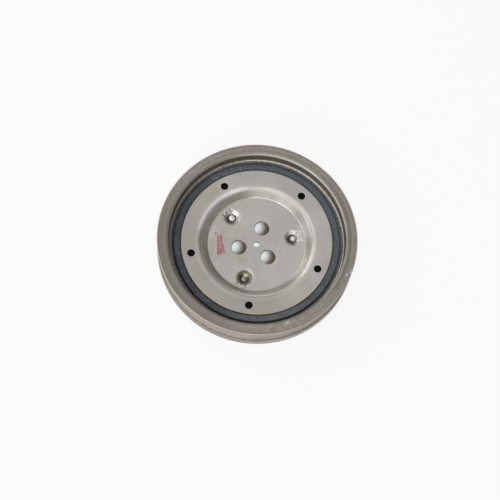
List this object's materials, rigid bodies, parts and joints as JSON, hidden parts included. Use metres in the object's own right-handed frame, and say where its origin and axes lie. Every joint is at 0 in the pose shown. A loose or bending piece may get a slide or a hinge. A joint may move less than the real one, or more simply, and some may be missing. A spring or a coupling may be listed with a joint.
{
  "type": "harmonic balancer",
  "caption": "Crankshaft harmonic balancer: dished steel hub plate, bonded rubber ring and iron inertia ring with a ribbed belt track.",
  "frame": {"origin": "on the crankshaft axis, in the plane of the inertia ring's rear face, on which the part lies", "axes": "+Z along the crankshaft axis, out of the engine; +X through the middle of one pressed lug"},
  "size_m": [0.192, 0.192, 0.0345],
  "materials": {
    "hub_steel": "pressed steel sheet, satin, lightly oil stained",
    "ring_iron": "fine turned iron, light rust in the recess",
    "rubber": "moulded black rubber, dusty"
  },
  "bodies": {
    "root": {"hub_plate": "hub_steel", "inertia_ring": "ring_iron", "rubber_ring": "rubber"}
  },
  "joints": []
}
